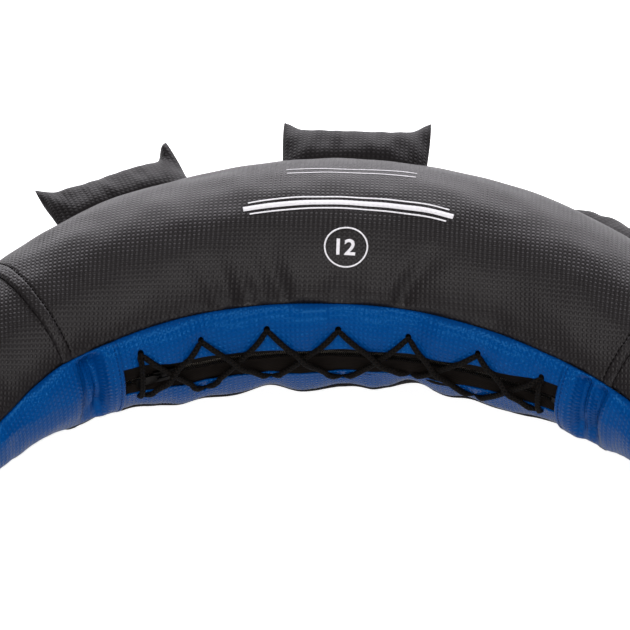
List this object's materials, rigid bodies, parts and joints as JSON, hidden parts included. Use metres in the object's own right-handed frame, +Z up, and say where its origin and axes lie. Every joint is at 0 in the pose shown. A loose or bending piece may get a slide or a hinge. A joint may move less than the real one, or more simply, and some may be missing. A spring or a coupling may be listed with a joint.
{
  "type": "bulgarian bag",
  "caption": "Crescent-shaped training bag in black and blue coated fabric, with a zip laced over with cord on its inner side, stuffed grip pads on its outer side and round handle ends.",
  "frame": {"origin": "on the floor, under the centre of the bag's outer box, with the bag lying on its belly and its two handle ends", "axes": "+Z up; +X to the right across the crescent, seen from its hollow side; +Y from the handle ends towards the crown of the crescent"},
  "size_m": [0.6574, 0.5546, 0.1426],
  "materials": {
    "black_cover": "coated fabric with a small square grain, satin",
    "blue_cover": "coated fabric with a small square grain, satin",
    "pad_cover": "coated fabric with a small square grain, satin",
    "zip_tape": "woven polyester tape, matt",
    "zip_coil": "nylon coil, satin",
    "zip_metal": "plain zinc alloy, dull",
    "cord": "braided polyester cord, matt",
    "sand": "sand in a plain sewn sack, matt",
    "wadding": "polyester wadding, matt",
    "handle_cover": "coated fabric with a small square grain, satin",
    "foam": "closed-cell foam, matt",
    "core": "moulded plastic, matt",
    "end_cap": "moulded rubber, matt",
    "webbing": "woven nylon webbing, matt"
  },
  "bodies": {
    "bag": {"panel_top": "black_cover", "panel_underside": "black_cover", "horn_top_left": "black_cover", "horn_top_right": "black_cover", "horn_underside_left": "black_cover", "horn_underside_right": "black_cover", "horn_inside_left": "blue_cover", "horn_inside_right": "blue_cover", "zip_band_left": "blue_cover", "zip_band_right": "blue_cover", "flap_upper": "blue_cover", "flap_lower": "blue_cover", "zip_tape_upper": "zip_tape", "zip_tape_lower": "zip_tape", "zip_coil_upper": "zip_coil", "zip_coil_lower": "zip_coil", "zip_stop_left": "zip_metal", "zip_stop_right": "zip_metal", "lace": "cord", "lace_knot_start": "cord", "lace_knot_end": "cord", "sand_sack_middle": "sand", "sand_sack_left": "sand", "sand_sack_right": "sand", "wadding_left": "wadding", "wadding_right": "wadding", "grip_tab_left": "pad_cover", "grip_tab_middle": "pad_cover", "grip_tab_right": "pad_cover", "handle_sleeve_left": "handle_cover", "handle_sleeve_right": "handle_cover", "handle_foam_left": "foam", "handle_foam_right": "foam", "handle_core_left": "core", "handle_core_right": "core", "handle_cap_left": "end_cap", "handle_cap_right": "end_cap", "neck_strap_left": "webbing", "neck_strap_right": "webbing"},
    "slider": {"zip_slider": "zip_metal"},
    "pull": {"zip_pull": "zip_metal"},
    "pad_left": {"grip_left": "pad_cover"},
    "pad_middle": {"grip_middle": "pad_cover"},
    "pad_right": {"grip_right": "pad_cover"}
  },
  "joints": [
    {"name": "zip_run", "type": "hinge", "parent": "bag", "child": "slider", "pos_m": [0, -0.26763, 0.02415], "axis": [0, 0.1183, -0.993], "range_deg": [-2.4, 50.4]},
    {"name": "pull_lift", "type": "hinge", "parent": "slider", "child": "pull", "pos_m": [-0.12299, 0.00628, 0.05677], "axis": [0, -0.1183, 0.993], "range_deg": [0, 5]},
    {"name": "pad_left_fold", "type": "hinge", "parent": "bag", "child": "pad_left", "pos_m": [-0.16373, 0.17177, 0.07648], "axis": [0.8735, 0.4834, 0.0576], "range_deg": [-46, 82]},
    {"name": "pad_middle_fold", "type": "hinge", "parent": "bag", "child": "pad_middle", "pos_m": [0, 0.21457, 0.08158], "axis": [1, 0, 0], "range_deg": [-66, 64]},
    {"name": "pad_right_fold", "type": "hinge", "parent": "bag", "child": "pad_right", "pos_m": [0.19067, 0.15497, 0.07448], "axis": [0.8172, -0.5723, -0.0682], "range_deg": [-26, 96]}
  ]
}
